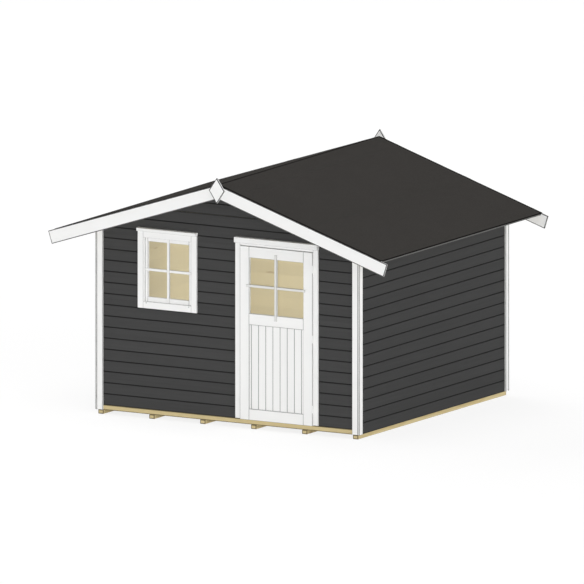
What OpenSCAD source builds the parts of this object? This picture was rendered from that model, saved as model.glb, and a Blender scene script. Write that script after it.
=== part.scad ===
// Garden house: a timber cabin with a low gable roof, a four-pane window and
// a half-glazed door that opens outwards.
// Millimetres. +X runs along the front from left to right, +Y from the front
// to the back, +Z up. The origin is on the ground, below the middle of the
// whole house.

/* [Walls] */
// Width of the house over the wall boards
wall_w = 3190; // [2800:10:4200]
// Depth of the house over the wall boards
wall_d = 3130; // [2400:10:4200]
// Height of the side walls above the top of the door's drip cap
wall_over_cap = 33.5; // [10:0.5:400]
// Thickness of the wall boards
wall_t = 28; // [20:1:44]

/* [Floor] */
// Width of a floor joist
joist_w = 64; // [45:1:120]
// Height of a floor joist
joist_h = 45; // [38:1:95]
// Height of the front and back floor beams, which lie on the joists
beam_h = 55; // [45:1:95]
// Thickness of the floor beams from front to back
beam_t = 45; // [35:1:70]
// Distance from the wall's outer face back to the floor beam's
beam_recess = 6; // [2:1:12]
// Reach of the joists beyond the beams
joist_past = 10; // [0:1:20]
// Thickness of the floor boards
floor_t = 19; // [16:1:28]

/* [Corner boards] */
// Width of a corner board
corner_w = 70; // [60:1:95]
// Thickness of a corner board
corner_t = 22; // [16:1:28]
// Height of the corner boards' lower end above the joists
corner_lift = 3; // [0:1:20]

/* [Roof] */
// Pitch of the roof in degrees
pitch = 18; // [12:1:28]
// Level reach of the roof beyond the side walls
eave_reach = 398; // [200:2:600]
// Reach of the roof beyond the front wall
front_reach = 210; // [80:5:500]
// Reach of the roof beyond the back wall
back_reach = 52; // [30:1:400]
// Thickness of the roof boards
deck_t = 23; // [16:1:28]
// Thickness of the roofing felt
felt_t = 4; // [3:0.5:6]
// Depth of the felt turned down over the edge of the roof boards
felt_lip = 10; // [6:1:15]
// Width of a purlin
purlin_w = 45; // [35:1:70]
// Height of a side purlin, measured along its inner face
purlin_h = 95; // [70:1:145]
// Height of the ridge purlin at its middle
ridge_purlin_h = 120; // [80:1:200]

/* [Barge boards] */
// Width of a barge board
barge_w = 145; // [110:1:200]
// Thickness of a barge board
barge_t = 18; // [16:1:40]
// Depth of the barge boards' upper edge below the top of the roof boards
barge_drop = 0.5; // [0:0.5:12]
// Level reach of the barge boards beyond the roof's edge
barge_reach = 80; // [0:1:120]
// Width of the diamond on the apex of the barge boards
finial_w = 190; // [140:2:240]
// Height of the diamond
finial_h = 280; // [200:2:340]
// Thickness of the diamond
finial_t = 22; // [12:1:34]
// Depth of the diamond's middle below the apex of the barge boards
finial_drop = 60; // [40:1:90]

/* [Trims] */
// Width of the side trims of the door
trim_w = 59; // [45:1:70]
// Thickness of the trims
trim_t = 18; // [12:1:24]
// Reach of the drip caps in front of the wall
cap_reach = 44; // [30:1:60]
// Reach of the drip caps beyond the side trims
cap_past = 3; // [0:1:12]

/* [Window] */
// Middle of the window, from the middle of the house
window_x = -739; // [-760:1:-700]
// Width of the opening between the side trims
window_w = 587; // [450:1:640]
// Height of the opening between the lower and the upper trim
window_h = 688; // [500:1:700]
// Height of the lower trim
window_sill_h = 72; // [50:1:95]
// Height of the upper trim below the cap
window_head_h = 68; // [30:1:80]
// Height of the window's drip cap
window_cap_h = 36; // [25:1:42]
// Depth of its top below the top of the door's drip cap
window_cap_below = 6; // [0:1:60]
// Width of the window's side trims
window_trim_w = 67; // [45:1:70]
// Width of the frame's side strips that show beside the sash
frame_strip = 13; // [12:1:30]
// Width of the sash's stiles
sash_stile = 30; // [24:1:45]
// Height of the sash's upper rail
sash_top_rail = 41; // [30:1:55]
// Height of the sash's lower rail
sash_low_rail = 49; // [30:1:60]
// Width of the glazing bars of the window
window_bar_w = 28; // [18:1:34]
// Thickness of the panes
glass_t = 4; // [3:1:6]

/* [Door] */
// Middle of the door, from the middle of the house
door_x = 600; // [560:1:620]
// Width of the door leaf
leaf_w = 884; // [780:1:890]
// Height of the door leaf
leaf_h = 1865; // [1780:1:1870]
// Distance of the leaf's lower edge below that of the wall boards
leaf_drop = 2; // [0:0.5:6]
// Thickness of the leaf
leaf_t = 40; // [36:1:44]
// Distance of the leaf's face in front of the wall
leaf_proud = 28; // [26:1:36]
// Clearance round the leaf
leaf_gap = 5; // [5:0.5:8]
// Width of the leaf's stiles
stile_w = 110; // [90:1:130]
// Height of the leaf's upper rail
top_rail_h = 119; // [90:1:140]
// Height of the leaf's middle rail
mid_rail_h = 118; // [90:1:140]
// Height of the leaf's lower rail
low_rail_h = 118; // [90:1:160]
// Height of the glazed light
light_h = 602; // [450:1:700]
// Thickness of the boarded panel
panel_t = 18; // [14:1:20]
// Depth of the panel's face behind the leaf's face
panel_recess = 8; // [4:1:14]
// Width of the glazing bars of the door
door_bar_w = 26; // [18:1:34]
// Thickness of the glazing bars of the door
door_bar_t = 16; // [8:1:20]
// Height of the door's head trim, from its lower edge to the cap
door_head_h = 26; // [20:1:30]
// Height of the door's drip cap
door_cap_h = 61; // [40:1:64]
// Width of the door jambs
jamb_w = 30; // [25:1:45]
// Depth of the door jambs
jamb_d = 45; // [35:1:60]

/* [Hinges] */
// Outer radius of a hinge knuckle
knuckle_r = 5; // [4.5:0.5:8]
// Radius of a hinge pin
pin_r = 3; // [2:0.25:3.5]
// Height of one knuckle
knuckle_h = 40; // [30:1:60]
// Thickness of a hinge plate
plate_t = 2; // [1.5:0.25:2.25]
// Reach of a hinge plate behind its pin
plate_d = 30; // [24:1:34]

/* [Hidden] */

$fn = 48;

// Colours of the materials
paint_white = [0.94, 0.94, 0.94];
paint_grey = [0.27, 0.27, 0.27];
felt_black = [0.24, 0.23, 0.22];
raw_pine = [0.78, 0.71, 0.51];
pane_glass = [0.78, 0.74, 0.59, 0.5];
hinge_steel = [0.75, 0.75, 0.75];

// Overlap of a cutting shape beyond the face that it cuts
cut = 1;
// Running clearance between a hinge pin and its knuckle
pin_clearance = 0.05;
// Gap between the two knuckles of a hinge
knuckle_gap = 0.3;
// Gap below what lies on a slope
seat_gap = 0.2;
// Clearance between a knuckle and the leaf's face
knuckle_clearance = 0.5;

// Depth of the whole house in front of and behind the walls
front_total = front_reach + barge_t + finial_t;
back_total = back_reach + barge_t + finial_t;
// The front wall's outer face, with the whole house centred on the origin
front_y = front_total - (front_total + wall_d + back_total) / 2;

// Walls
half_w = wall_w / 2;
inner_w = wall_w - 2 * wall_t;
wall_base = joist_h + beam_h;

// Door heights, which the walls, the window and the roof follow
leaf_z = wall_base - leaf_drop;
leaf_top = leaf_z + leaf_h;
door_head_z = leaf_top + leaf_gap;
door_cap_z = door_head_z + door_head_h;
door_cap_top = door_cap_z + door_cap_h;
eave_h = door_cap_top + wall_over_cap;

// Roof: heights are taken on the underside of the roof boards
rise = tan(pitch);
apex_z = eave_h + half_w * rise;
deck_v = deck_t / cos(pitch);
felt_v = felt_t / cos(pitch);
eave_x = half_w + eave_reach;
// The side purlins' inner faces, with the purlins half way down the slopes
side_purlin_x = (half_w - purlin_w) / 2;

// Floor
joist_count = 6;
joist_span = wall_w - 2 * beam_recess - joist_w;
joist_y = beam_recess - joist_past;
corner_z = joist_h + corner_lift;

// Window
window_hole_lap = 10;
hole_w = window_w + 2 * window_hole_lap;
hole_h = window_h + 2 * window_hole_lap;
sash_w = window_w - 2 * frame_strip;
sash_h = window_h;
frame_face = 4;
frame_depth = 56;
sash_face = 10;
sash_t = 35;
window_glass_face = sash_face + 14;
window_cap_z = door_cap_top - window_cap_below - window_cap_h;
window_head_z = window_cap_z - window_head_h;
window_z = window_head_z - window_h;

// Door
opening_w = leaf_w + 2 * leaf_gap;
leaf_left = door_x - leaf_w / 2;
leaf_right = door_x + leaf_w / 2;
leaf_back = leaf_t - leaf_proud;
jamb_face = leaf_back + leaf_gap;
// The wall is split at this height, above the door's head
split_z = door_cap_z;
trim_bottom = wall_base + leaf_gap;
daylight_w = leaf_w - 2 * stile_w;
light_z = leaf_top - top_rail_h - light_h;
panel_z = leaf_z + low_rail_h;
panel_h = light_z - mid_rail_h - panel_z;
door_glass_recess = 14;
bar_past_x = 27;
bar_past_z = 54;
sill_step = leaf_z - leaf_gap - 1;

// Hinges
hinge_x = leaf_right + leaf_gap / 2;
hinge_y = -leaf_proud - knuckle_r - knuckle_clearance;
hinge_zs = [leaf_z + 180, leaf_z + leaf_h / 2, leaf_top - 180];

// Everything below is drawn with the front wall's outer face at Y = 0
module in_house() translate([0, front_y, 0]) children();

// A box from its lowest to its highest corner
module block(from, to) translate(from) cube(to - from);

// A shape drawn in X and Z, carried from y1 to y2
module along_y(y1, y2)
    translate([0, y2, 0]) rotate([90, 0, 0]) linear_extrude(y2 - y1) children();

module mirror_x() { children(); mirror([1, 0, 0]) children(); }

// Height of the roof boards' underside, and of what carries them, at a distance x from the middle
function under_roof(x) = apex_z - abs(x) * rise;
function seat_z(x) = under_roof(x) - seat_gap;

// Everything in a wall's plane that lies below the roof boards
module below_roof(bottom)
    polygon([[-half_w, bottom], [half_w, bottom], [half_w, seat_z(half_w)],
             [0, seat_z(0)], [-half_w, seat_z(half_w)]]);

module rect(x1, z1, x2, z2) translate([x1, z1]) square([x2 - x1, z2 - z1]);

// ---- Floor ----

module joist(i)
    color(raw_pine) in_house()
        translate([-half_w + beam_recess + (i - 1) * joist_span / (joist_count - 1), joist_y, 0])
            cube([joist_w, wall_d - 2 * joist_y, joist_h]);

// The front beam is stepped down below the door leaf
module floor_beam_front()
    color(raw_pine) in_house() difference() {
        block([-inner_w / 2, beam_recess, joist_h], [inner_w / 2, beam_recess + beam_t, wall_base]);
        block([leaf_left - leaf_gap, beam_recess - cut, sill_step],
              [leaf_right + leaf_gap, jamb_face, wall_base + cut]);
    }

module floor_beam_back()
    color(raw_pine) in_house()
        block([-inner_w / 2, wall_d - beam_recess - beam_t, joist_h],
              [inner_w / 2, wall_d - beam_recess, wall_base]);

module floor_boards()
    color(raw_pine) in_house()
        block([-inner_w / 2, beam_recess + beam_t, joist_h],
              [inner_w / 2, wall_d - beam_recess - beam_t, joist_h + floor_t]);

// ---- Walls ----

module window_hole()
    rect(window_x - hole_w / 2, window_z - window_hole_lap,
         window_x + hole_w / 2, window_head_z + window_hole_lap);

module door_hole()
    rect(door_x - opening_w / 2, wall_base - cut, door_x + opening_w / 2, door_head_z);

// Both purlins' sections, which the gables are notched for
module side_purlin_section()
    polygon([[side_purlin_x, seat_z(side_purlin_x) - purlin_h],
             [side_purlin_x + purlin_w, seat_z(side_purlin_x) - purlin_h],
             [side_purlin_x + purlin_w, seat_z(side_purlin_x + purlin_w)],
             [side_purlin_x, seat_z(side_purlin_x)]]);

module ridge_purlin_section()
    polygon([[-purlin_w / 2, seat_z(0) - ridge_purlin_h], [purlin_w / 2, seat_z(0) - ridge_purlin_h],
             [purlin_w / 2, seat_z(purlin_w / 2)], [0, seat_z(0)], [-purlin_w / 2, seat_z(purlin_w / 2)]]);

module purlin_sections() { ridge_purlin_section(); mirror_x() side_purlin_section(); }

module front_wall_left()
    color(paint_grey) in_house() along_y(0, wall_t) difference() {
        intersection() {
            below_roof(wall_base);
            rect(-half_w, wall_base, door_x - opening_w / 2, split_z);
        }
        window_hole();
    }

module front_wall_right()
    color(paint_grey) in_house() along_y(0, wall_t) intersection() {
        below_roof(wall_base);
        rect(door_x + opening_w / 2, wall_base, half_w, split_z);
    }

// The gable reaches down to the door's head between the two lower walls
module front_gable()
    color(paint_grey) in_house() along_y(0, wall_t) difference() {
        union() {
            below_roof(split_z);
            rect(door_x - opening_w / 2, door_head_z, door_x + opening_w / 2, split_z + cut);
        }
        purlin_sections();
    }

module back_wall()
    color(paint_grey) in_house() along_y(wall_d - wall_t, wall_d) difference() {
        below_roof(wall_base);
        purlin_sections();
    }

// The right-hand side wall, with its upper edge cut to the roof's pitch
module side_wall_section()
    polygon([[half_w - wall_t, joist_h], [half_w, joist_h], [half_w, seat_z(half_w)],
             [half_w - wall_t, seat_z(half_w - wall_t)]]);

module right_wall() color(paint_grey) in_house() along_y(wall_t, wall_d - wall_t) side_wall_section();
module left_wall() mirror([1, 0, 0]) right_wall();

// ---- Corner boards ----

// A front corner is a board on the front and one on the side that covers its edge
module front_corner()
    color(paint_white) in_house() union() {
        along_y(-corner_t, 0) corner_board_section(half_w - corner_w, half_w);
        along_y(-corner_t, corner_w - corner_t) corner_board_section(half_w, half_w + corner_t);
    }

// At the back, the board on the back covers the edge of the one on the side
module back_corner()
    color(paint_white) in_house() union() {
        along_y(wall_d, wall_d + corner_t) corner_board_section(half_w - corner_w, half_w + corner_t);
        along_y(wall_d - corner_w + corner_t, wall_d) corner_board_section(half_w, half_w + corner_t);
    }

module corner_board_section(x1, x2)
    polygon([[x1, corner_z], [x2, corner_z], [x2, seat_z(x2)], [x1, seat_z(x1)]]);

// ---- Roof ----

module ridge_purlin() color(raw_pine) in_house() along_y(-front_reach, wall_d + back_reach) ridge_purlin_section();

module side_purlins()
    color(raw_pine) in_house() along_y(-front_reach, wall_d + back_reach) mirror_x() side_purlin_section();

// A layer of the right-hand roof slope, from one height above the boards' underside to another
module slope_section(v1, v2, x2)
    polygon([[0, apex_z + v1], [x2, under_roof(x2) + v1], [x2, under_roof(x2) + v2], [0, apex_z + v2]]);

module roof_boards_right()
    color(raw_pine) in_house() along_y(-front_reach, wall_d + back_reach)
        slope_section(0, deck_v, eave_x - felt_t);

// The felt lies on the boards, is turned down over their lower edge, and goes down to the upper edge
// of the barge boards in front of and behind them
module roof_felt_right()
    color(felt_black) in_house() union() {
        along_y(-front_reach - barge_t, wall_d + back_reach + barge_t)
            slope_section(deck_v + seat_gap, deck_v + felt_v, eave_x);
        along_y(-front_reach, wall_d + back_reach)
            polygon([[eave_x - felt_t, under_roof(eave_x - felt_t) + deck_v - felt_lip],
                     [eave_x, under_roof(eave_x) + deck_v - felt_lip],
                     [eave_x, under_roof(eave_x) + deck_v + felt_v / 2],
                     [eave_x - felt_t, under_roof(eave_x - felt_t) + deck_v + felt_v / 2]]);
        along_y(-front_reach - barge_t, -front_reach) felt_edge_section();
        along_y(wall_d + back_reach, wall_d + back_reach + barge_t) felt_edge_section();
    }

// What fills the gap between the felt over a barge board and the barge board's upper edge
module felt_edge_section()
    slope_section(deck_v - barge_drop + seat_gap, deck_v + felt_v / 2 + seat_gap, eave_x);

module roof_boards_left() mirror([1, 0, 0]) roof_boards_right();
module roof_felt_left() mirror([1, 0, 0]) roof_felt_right();

// ---- Barge boards and diamonds ----

barge_apex = apex_z + deck_v - barge_drop;
barge_end = eave_x + barge_reach;

// The right-hand barge board: plumb at the apex, square at its lower end
module barge_section()
    polygon([[0, barge_apex], [0, barge_apex - barge_w / cos(pitch)],
             [barge_end - barge_w * sin(pitch), barge_apex - barge_end * rise - barge_w * cos(pitch)],
             [barge_end, barge_apex - barge_end * rise]]);

module barge_front_right()
    color(paint_white) in_house() along_y(-front_reach - barge_t, -front_reach) barge_section();
module barge_back_right()
    color(paint_white) in_house()
        along_y(wall_d + back_reach, wall_d + back_reach + barge_t) barge_section();
module barge_front_left() mirror([1, 0, 0]) barge_front_right();
module barge_back_left() mirror([1, 0, 0]) barge_back_right();

module diamond()
    translate([0, barge_apex - finial_drop])
        polygon([[0, finial_h / 2], [finial_w / 2, 0], [0, -finial_h / 2], [-finial_w / 2, 0]]);

module finial_front()
    color(paint_white) in_house()
        along_y(-front_reach - barge_t - finial_t, -front_reach - barge_t) diamond();
module finial_back()
    color(paint_white) in_house()
        along_y(wall_d + back_reach + barge_t, wall_d + back_reach + barge_t + finial_t) diamond();

// ---- Window ----

sash_left = window_x - sash_w / 2;
sash_right = window_x + sash_w / 2;
pane_left = sash_left + sash_stile;
pane_right = sash_right - sash_stile;
pane_low = window_z + sash_low_rail;
pane_high = window_head_z - sash_top_rail;
sash_middle_z = (window_z + window_head_z) / 2;

module window_frame()
    color(paint_white) in_house() along_y(frame_face, frame_face + frame_depth) difference() {
        window_hole();
        rect(sash_left, window_z, sash_right, window_head_z);
    }

module window_sash()
    color(paint_white) in_house() along_y(sash_face, sash_face + sash_t) difference() {
        rect(sash_left, window_z, sash_right, window_head_z);
        rect(pane_left, pane_low, pane_right, pane_high);
    }

module window_glass()
    color(pane_glass) in_house() along_y(window_glass_face, window_glass_face + glass_t)
        rect(pane_left, pane_low, pane_right, pane_high);

// The bars lie on the sash and reach back to the glass inside it
module window_bars()
    color(paint_white) in_house() union() {
        along_y(frame_face, sash_face) window_cross(sash_left, window_z, sash_right, window_head_z);
        along_y(frame_face, window_glass_face) window_cross(pane_left, pane_low, pane_right, pane_high);
    }

module window_cross(x1, z1, x2, z2) {
    rect(x1, sash_middle_z - window_bar_w / 2, x2, sash_middle_z + window_bar_w / 2);
    rect(window_x - window_bar_w / 2, z1, window_x + window_bar_w / 2, z2);
}

module window_side_trims()
    color(paint_white) in_house() for (side = [-1, 1])
        translate([window_x + side * (window_w + window_trim_w) / 2 - window_trim_w / 2, -trim_t,
                   window_z - window_sill_h])
            cube([window_trim_w, trim_t, window_cap_z - window_z + window_sill_h]);

module window_cross_trims()
    color(paint_white) in_house() along_y(-trim_t, 0) {
        rect(window_x - window_w / 2, window_z - window_sill_h, window_x + window_w / 2, window_z);
        rect(window_x - window_w / 2, window_head_z, window_x + window_w / 2, window_cap_z);
    }

module window_cap()
    color(paint_white) in_house()
        block([window_x - window_w / 2 - window_trim_w - cap_past, -cap_reach, window_cap_z],
              [window_x + window_w / 2 + window_trim_w + cap_past, 0, window_cap_z + window_cap_h]);

// ---- Door surround ----

module door_jambs()
    color(paint_white) in_house() for (side = [-1, 1])
        translate([door_x + side * (opening_w - jamb_w) / 2 - jamb_w / 2, jamb_face, wall_base])
            cube([jamb_w, jamb_d, door_head_z - wall_base]);

module door_head()
    color(paint_white) in_house()
        block([door_x - opening_w / 2 + jamb_w, jamb_face, door_head_z - jamb_w],
              [door_x + opening_w / 2 - jamb_w, jamb_face + jamb_d, door_head_z]);

module door_side_trims()
    color(paint_white) in_house() for (side = [-1, 1])
        translate([door_x + side * (opening_w + trim_w) / 2 - trim_w / 2, -trim_t, trim_bottom])
            cube([trim_w, trim_t, door_cap_z - trim_bottom]);

module door_head_trim()
    color(paint_white) in_house()
        block([door_x - opening_w / 2, -trim_t, door_head_z], [door_x + opening_w / 2, 0, door_cap_z]);

module door_cap()
    color(paint_white) in_house()
        block([door_x - opening_w / 2 - trim_w - cap_past, -cap_reach, door_cap_z],
              [door_x + opening_w / 2 + trim_w + cap_past, 0, door_cap_z + door_cap_h]);

// ---- Door leaf ----

module door_leaf()
    color(paint_white) in_house() along_y(-leaf_proud, leaf_back) difference() {
        rect(leaf_left, leaf_z, leaf_right, leaf_top);
        rect(leaf_left + stile_w, panel_z, leaf_right - stile_w, panel_z + panel_h);
        rect(leaf_left + stile_w, light_z, leaf_right - stile_w, light_z + light_h);
    }

module door_panel()
    color(paint_white) in_house()
        along_y(-leaf_proud + panel_recess, -leaf_proud + panel_recess + panel_t)
            rect(leaf_left + stile_w, panel_z, leaf_right - stile_w, panel_z + panel_h);

module door_glass()
    color(pane_glass) in_house()
        along_y(-leaf_proud + door_glass_recess, -leaf_proud + door_glass_recess + glass_t)
            rect(leaf_left + stile_w, light_z, leaf_right - stile_w, light_z + light_h);

// The bars lie on the leaf's face, reach past the glass, and back to it inside the light
module door_bars()
    color(paint_white) in_house() union() {
        along_y(-leaf_proud - door_bar_t, -leaf_proud) door_cross(bar_past_x, bar_past_z);
        along_y(-leaf_proud - door_bar_t, -leaf_proud + door_glass_recess) door_cross(0, 0);
    }

module door_cross(past_x, past_z) {
    rect(leaf_left + stile_w - past_x, light_z + (light_h - door_bar_w) / 2,
         leaf_right - stile_w + past_x, light_z + (light_h + door_bar_w) / 2);
    rect(door_x - door_bar_w / 2, light_z - past_z, door_x + door_bar_w / 2, light_z + light_h + past_z);
}

// ---- Hinges: the half on the frame carries the pin, the half on the leaf lifts off ----

module hinge_frame_halves()
    color(hinge_steel) in_house() for (z = hinge_zs) translate([hinge_x, hinge_y, z]) {
        translate([0, 0, -knuckle_h]) cylinder(r = knuckle_r, h = knuckle_h);
        translate([0, 0, -cut]) cylinder(r = pin_r, h = knuckle_h + cut);
        block([leaf_gap / 2 - plate_t, 0, -knuckle_h], [leaf_gap / 2, plate_d, 0]);
    }

module hinge_leaf_halves()
    color(hinge_steel) in_house() for (z = hinge_zs) translate([hinge_x, hinge_y, z + knuckle_gap])
        difference() {
            union() {
                cylinder(r = knuckle_r, h = knuckle_h);
                block([-leaf_gap / 2, 0, 0], [-leaf_gap / 2 + plate_t, plate_d, knuckle_h]);
            }
            translate([0, 0, -cut]) cylinder(r = pin_r + pin_clearance, h = knuckle_h + 2 * cut);
        }

joist(1);  // joist_1
joist(2);  // joist_2
joist(3);  // joist_3
joist(4);  // joist_4
joist(5);  // joist_5
joist(6);  // joist_6
floor_beam_front();
floor_beam_back();
floor_boards();  // floor
front_wall_left();
front_wall_right();
front_gable();
back_wall();
left_wall();
right_wall();
mirror([1, 0, 0]) front_corner();  // corner_front_left
front_corner();  // corner_front_right
mirror([1, 0, 0]) back_corner();  // corner_back_left
back_corner();  // corner_back_right
ridge_purlin();
side_purlins();
roof_boards_left();
roof_boards_right();
roof_felt_left();
roof_felt_right();
barge_front_left();
barge_front_right();
barge_back_left();
barge_back_right();
finial_front();
finial_back();
window_frame();
window_sash();
window_glass();
window_bars();
window_side_trims();
window_cross_trims();
window_cap();
door_jambs();
door_head();
door_side_trims();
door_head_trim();
door_cap();
hinge_frame_halves();
door_leaf();
door_panel();
door_glass();
door_bars();
hinge_leaf_halves();
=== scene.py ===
"""Garden house: the boards, panes, roofing felt and fittings that show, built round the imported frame.

Everything is in metres. +X runs along the front from left to right, +Y from the front to the back and
+Z up, with the origin on the ground below the middle of the house. Places and sizes come from the
frame's solids; what the frame doesn't hold, such as joints, rounded edges and grain, is named below.
"""

import math
from collections import namedtuple

import bpy
import numpy as np
from bpy.props import FloatProperty, FloatVectorProperty, PointerProperty
from mathutils import Matrix, Vector


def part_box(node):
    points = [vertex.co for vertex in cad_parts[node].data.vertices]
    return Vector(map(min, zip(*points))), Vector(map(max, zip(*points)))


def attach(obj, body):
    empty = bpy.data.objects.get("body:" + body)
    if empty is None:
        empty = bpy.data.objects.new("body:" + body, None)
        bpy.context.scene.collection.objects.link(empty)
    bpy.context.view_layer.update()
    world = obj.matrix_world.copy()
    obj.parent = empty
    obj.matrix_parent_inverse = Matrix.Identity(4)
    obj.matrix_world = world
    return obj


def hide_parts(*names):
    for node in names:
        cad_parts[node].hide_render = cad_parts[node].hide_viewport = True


bl_info = {
    "name": "Garden House",
    "version": (1, 0, 0),
    "blender": (4, 5, 0),
    "location": "3D View > Sidebar > Garden House",
    "description": "Builds the boards, panes, felt and fittings of a timber garden house round its frame",
    "category": "Add Mesh",
}

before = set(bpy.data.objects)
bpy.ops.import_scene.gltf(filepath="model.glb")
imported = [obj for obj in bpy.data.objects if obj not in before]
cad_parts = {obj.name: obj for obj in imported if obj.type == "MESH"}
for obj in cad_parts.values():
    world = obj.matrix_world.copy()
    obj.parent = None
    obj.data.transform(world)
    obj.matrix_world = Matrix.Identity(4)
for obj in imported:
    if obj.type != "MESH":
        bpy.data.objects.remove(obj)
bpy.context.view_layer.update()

X, Y, Z = np.eye(3)
ALONG_X, ALONG_Y, ALONG_Z = range(3)


# ---- Sizes and colours that a user may change ----


def paint(red, green, blue):
    """A colour given as 0 to 255 display values, as the linear values that Blender's colours hold."""
    display = np.array((red, green, blue)) / 255
    return tuple(np.where(display < 0.04045, display / 12.92, ((display + 0.055) / 1.055) ** 2.4))


def length(name, default, description):
    """A size in metres."""
    return FloatProperty(name=name, default=default, min=0.0, unit="LENGTH", precision=4,
                         description=description)


def colour(name, default, description):
    """A colour, given as display values."""
    return FloatVectorProperty(name=name, default=paint(*default), min=0.0, max=1.0, size=3,
                               subtype="COLOR", description=description)


class GardenHouseSizes(bpy.types.PropertyGroup):
    """Sizes of what the frame's plain solids leave out."""

    wall_board: length("Wall board", 0.120, "Height of a wall board from joint to joint")
    groove_width: length("Groove width", 0.015, "Width of the joint between two wall boards at their face")
    groove_depth: length("Groove depth", 0.010, "Depth of the joint between two wall boards")
    floor_board: length("Floor board", 0.095, "Width of a floor board")
    roof_board: length("Roof board", 0.094, "Width of a roof board")
    panel_board: length("Panel board", 0.0876, "Width of a board of the door's panel")
    edge_round: length("Rounded edge", 0.0035, "Radius of the eased edges of planed boards")
    fine_round: length("Fine edge", 0.0018, "Radius of the eased edges of casings and of the window")
    joint_round: length("Rounded joint", 0.005, "Radius of the edges where boards lie side by side")
    barge_round: length("Rounded barge", 0.004, "Radius of the barge boards' and the diamonds' edges")
    barge_band: length("Worn band", 0.006, "Width of the worn strip along the barge boards' edges")
    corner_round: length("Corner boards' rounding", 0.004, "Radius of the edges of the corner boards")
    felt_sheet: length("Felt sheet", 0.003, "Thickness of a sheet of roofing felt")
    felt_step: length("Felt step", 0.0012, "Height of the step where one sheet laps over the next")
    felt_cover: length("Felt cover", 0.92, "Height of a felt sheet up the slope that stays uncovered")
    felt_lap: length("Felt lap", 0.08, "Overlap of two felt sheets")
    ridge_cap: length("Ridge cap", 0.15, "Level reach of the ridge's felt strip down each slope")
    screw_head: length("Screw head", 0.0035, "Radius of the painted screw heads")


class GardenHouseColours(bpy.types.PropertyGroup):
    """Colours of the finishes."""

    grey_paint: colour("Grey paint", (66, 66, 66), "Paint on the gable walls")
    # The side paint is the grey made darker: a painted shade on the walls at the sides
    shaded_side_paint: colour("Side paint", (60, 60, 60), "Paint on the side walls, which take more weather")
    eave_paint: colour("Eave paint", (104, 104, 102), "Primer on the roof boards' ends")
    white_paint: colour("White paint", (244, 244, 243), "Paint on the trims, the window and the door")
    bar_paint: colour("Bar paint", (224, 224, 222), "Paint on the door's glazing bars")
    early_wood: colour("Early wood", (214, 198, 153), "Pale part of a year ring of the raw pine")
    late_wood: colour("Late wood", (194, 172, 122), "Dark part of a year ring of the raw pine")
    inner_early: colour("Inner early wood", (208, 199, 170), "Pale part of a year ring inside the house")
    inner_late: colour("Inner late wood", (182, 170, 132), "Dark part of a year ring inside the house")
    knot: colour("Knot", (128, 88, 52), "Knots of the raw pine")
    felt: colour("Felt", (64, 62, 60), "Mineral grit on the roofing felt")
    steel: colour("Steel", (135, 135, 135), "Zinc coat of the window's screws")
    glass: colour("Glass", (242, 243, 243), "Tint of the panes")
    floor: colour("Floor", (255, 255, 255), "Ground of the studio")


def sizes():
    """The sizes, as the user has left them."""
    return bpy.context.scene.garden_house_sizes


def colours():
    """The colours, as the user has left them."""
    return bpy.context.scene.garden_house_colours


# ---- The frame's measures ----

# Places closer together than this are the same place
SAME_PLACE = 1e-4


def points(node):
    """All corner points of a CAD node, as an array of rows."""
    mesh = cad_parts[node].data
    flat = np.empty(3 * len(mesh.vertices), np.float32)
    mesh.vertices.foreach_get("co", flat)
    return flat.reshape(-1, 3).astype(float)


def box(node):
    """Lowest and highest corner of a CAD node, as arrays."""
    low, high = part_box(node)
    return np.array(low), np.array(high)


class Roof:
    """The two slopes, as the roof boards' solids give them."""

    def __init__(self):
        deck = points("roof_boards_right")
        at_ridge = deck[deck[:, 0] < SAME_PLACE, 2]
        self.eave = deck[:, 0].max()
        self.ridge = at_ridge.min()
        self.deck = at_ridge.max() - at_ridge.min()
        self.front, self.back = deck[:, 1].min(), deck[:, 1].max()
        at_eave = deck[deck[:, 0] > self.eave - SAME_PLACE, 2]
        self.rise = (self.ridge - at_eave.min()) / self.eave
        self.cos = 1 / math.hypot(1, self.rise)
        self.sin = self.rise * self.cos

    def under(self, x):
        """Height of the boards' underside at a distance x from the middle."""
        return self.ridge - np.abs(x) * self.rise

    def reach(self, z):
        """Distance from the middle at which the boards' underside has the height z."""
        return (self.ridge - z) / self.rise

    def down(self, side):
        """Direction down the slope of the side +1 or -1."""
        return np.array((side * self.cos, 0, -self.sin))

    def square(self, side):
        """Direction square to that slope, upwards."""
        return np.array((side * self.sin, 0, self.cos))


roof = Roof()


# ---- Shells and pieces ----

Place = namedtuple("Place", "origin axes")
SMOOTH_ANGLE = math.radians(32)
# A rounded edge in steps: share of the radius by which the outline has grown, depth in radii, and the
# darkening, 1 on the edge and fading out down the side face: wear on the edge, and painted shade in the
# joint that the side face meets
ROUNDING = np.array(((0.2, 0.0, 0), (0.45, 0.1, 1), (0.8, 0.4, 1), (1.0, 1.0, 1), (1.0, 2.2, 0)))
# The same edge where it starts with a worn band, whose two steps lie at the band's width inside it
BANDED_ROUNDING = np.array(((0.1, 0, 0), (0.2, 0, 1), *ROUNDING[1:]))
BAND_STEPS = 2
# A rounded edge takes no more than this share of a board's thickness
DEEPEST_EDGE = 0.45
# A screw's head: its circles and the height of its dome in radii, and how far the dome falls to its rim
SCREW_RINGS, SCREW_DOME, SCREW_RIM, SCREW_SIDES = (1.0, 0.85, 0.55, 0.2), 0.32, 0.9, 10


def loft(sections):
    """Faces of a closed shell through a stack of like outlines: point j of outline i is point (i, j) of
    a grid that closes on itself in j, and the first and the last outline are capped."""
    stations, around = sections.shape[:2]
    grid = np.arange(stations * around).reshape(stations, around)
    following = np.roll(grid, -1, axis=1)
    sides = np.stack((grid[:-1], following[:-1], following[1:], grid[1:]), axis=-1).reshape(-1, 4)
    caps = np.stack((grid[0, ::-1], grid[-1]))
    return sides, caps


def volume(corners, faces):
    """Signed volume below flat faces: each is a fan of triangles, whose triple products are added up."""
    at = corners[faces]
    fan = np.cross(at[:, 1:-1], at[:, 2:])
    return np.einsum("fk,ftk->", at[:, 0], fan) / 6


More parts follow.
